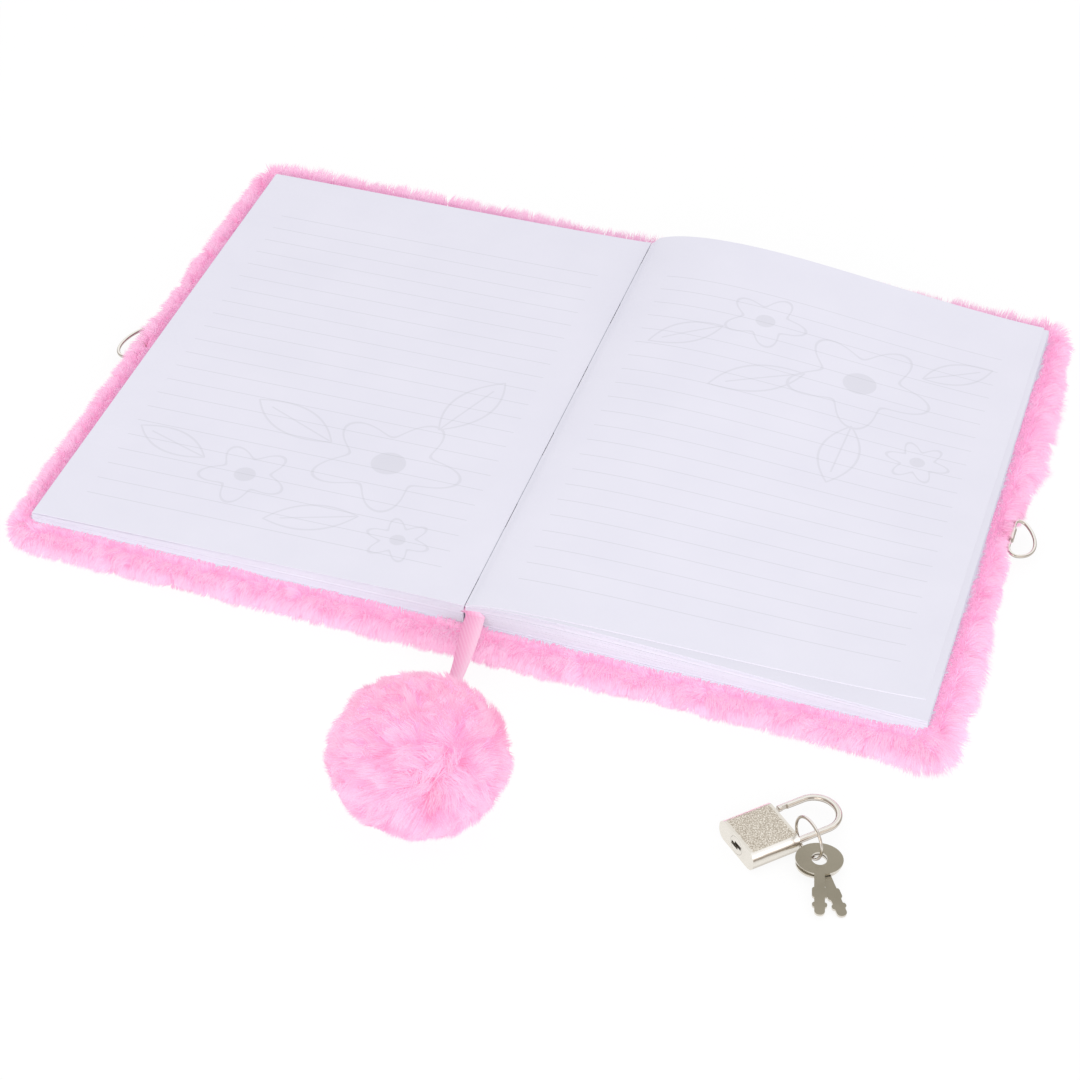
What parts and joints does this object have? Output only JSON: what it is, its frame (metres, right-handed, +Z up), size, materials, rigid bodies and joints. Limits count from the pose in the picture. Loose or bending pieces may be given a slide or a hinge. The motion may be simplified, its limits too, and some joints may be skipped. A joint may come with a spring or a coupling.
{
  "type": "diary with lock",
  "caption": "Plush-covered diary lying open, its sewn pages swelling beside the fold, with a pom-pom ribbon bookmark, lock rings on both covers, and a small open padlock with keys.",
  "frame": {"origin": "on the table, under the sewn fold, halfway between head and foot", "axes": "+X from the front cover to the back cover, +Y from foot to head, +Z up from the table"},
  "size_m": [0.3212, 0.3184, 0.0465],
  "materials": {
    "plush": "matte",
    "board": "matte",
    "endpaper": "matte",
    "page": "matte",
    "lining": "matte",
    "thread": "matte",
    "ribbon": "satin",
    "nickel": "polished",
    "lock_case": "satin",
    "lock_works": "satin",
    "key": "matte"
  },
  "bodies": {
    "back_cover": {"back_board": "board", "back_plush": "plush", "back_pastedown": "endpaper", "back_ring_tab": "nickel", "back_ring_rivet": "nickel", "right_signature_1": "page", "right_signature_2": "page", "right_signature_3": "page", "right_signature_4": "page", "right_signature_5": "page", "spine_lining": "lining", "sewing_thread": "thread", "bookmark_ribbon": "ribbon", "pompom": "plush"},
    "spine": {"spine_board": "board", "spine_plush": "plush"},
    "front_cover": {"front_board": "board", "front_plush": "plush", "front_pastedown": "endpaper", "front_ring_tab": "nickel", "front_ring_rivet": "nickel", "left_signature_1": "page", "left_signature_2": "page", "left_signature_3": "page", "left_signature_4": "page"},
    "left_leaf": {"left_leaf": "page"},
    "right_leaf": {"right_leaf": "page"},
    "back_lock_ring": {"back_lock_ring": "nickel"},
    "front_lock_ring": {"front_lock_ring": "nickel"},
    "padlock": {"padlock_case": "lock_case"},
    "stop_ring": {"padlock_stop_ring": "lock_works"},
    "shackle": {"padlock_shackle": "nickel"},
    "plug": {"padlock_plug": "lock_works"},
    "latch": {"padlock_latch": "lock_works"},
    "key_ring": {"key_ring": "nickel"},
    "key_1": {"key_1": "key"},
    "key_2": {"key_2": "key"}
  },
  "joints": [
    {"name": "front_cover_hinge", "type": "hinge", "parent": "back_cover", "child": "front_cover", "pos_m": [0, 0, 0.0182], "axis": [0, 1, 0], "range_deg": [0, 180]},
    {"name": "spine_hinge", "type": "hinge", "parent": "back_cover", "child": "spine", "pos_m": [0, 0, 0.0182], "axis": [0, 1, 0], "range_deg": [0, 90]},
    {"name": "right_leaf_turn", "type": "hinge", "parent": "back_cover", "child": "right_leaf", "pos_m": [0, 0, 0.01455], "axis": [0, 1, 0], "range_deg": [-92, 0]},
    {"name": "left_leaf_turn", "type": "hinge", "parent": "front_cover", "child": "left_leaf", "pos_m": [0, 0, 0.01455], "axis": [0, -1, 0], "range_deg": [-28, 0]},
    {"name": "back_ring_swing", "type": "hinge", "parent": "back_cover", "child": "back_lock_ring", "pos_m": [0.1522, -0.0025, 0.00587], "axis": [0, -1, 0], "range_deg": [-10, 100]},
    {"name": "front_ring_swing", "type": "hinge", "parent": "front_cover", "child": "front_lock_ring", "pos_m": [-0.1522, -0.0025, 0.00587], "axis": [0, 1, 0], "range_deg": [-10, 100]},
    {"name": "padlock_lift", "type": "slide", "parent": "back_cover", "child": "padlock", "axis": [0, 0, 1], "range_m": [0, 0.03]},
    {"name": "shackle_slide", "type": "slide", "parent": "padlock", "child": "stop_ring", "axis": [0.682, 0.7314, 0], "range_m": [-0.0066, 0]},
    {"name": "shackle_swivel", "type": "hinge", "parent": "stop_ring", "child": "shackle", "pos_m": [0.1181, -0.15737, 0.0035], "axis": [0.682, 0.7314, 0], "range_deg": [0, 110]},
    {"name": "plug_turn", "type": "hinge", "parent": "padlock", "child": "plug", "pos_m": [0.1132, -0.1528, 0.0035], "axis": [-0.682, -0.7314, 0], "range_deg": [0, 90]},
    {"name": "latch_slide", "type": "slide", "parent": "padlock", "child": "latch", "axis": [-0.7314, 0.682, 0], "range_m": [0, 0.0006]},
    {"name": "key_ring_swing", "type": "hinge", "parent": "padlock", "child": "key_ring", "pos_m": [0.1181, -0.15737, 0.0035], "axis": [-0.682, -0.7314, 0], "range_deg": [0, 50]},
    {"name": "key_1_fan", "type": "hinge", "parent": "key_ring", "child": "key_1", "pos_m": [0.12612, -0.16211, 0.0023], "axis": [0.0585, -0.0867, 0.9945], "range_deg": [-25, 25]},
    {"name": "key_2_fan", "type": "hinge", "parent": "key_ring", "child": "key_2", "pos_m": [0.12612, -0.16211, 0.0034], "axis": [0.0253, -0.1014, 0.9945], "range_deg": [-25, 25]}
  ],
  "couplings": [
    {"joint": "spine_hinge", "follows": "front_cover_hinge", "ratio": 0.5},
    {"joint": "plug_turn", "follows": "latch_slide", "rad_per_m": 2618}
  ]
}
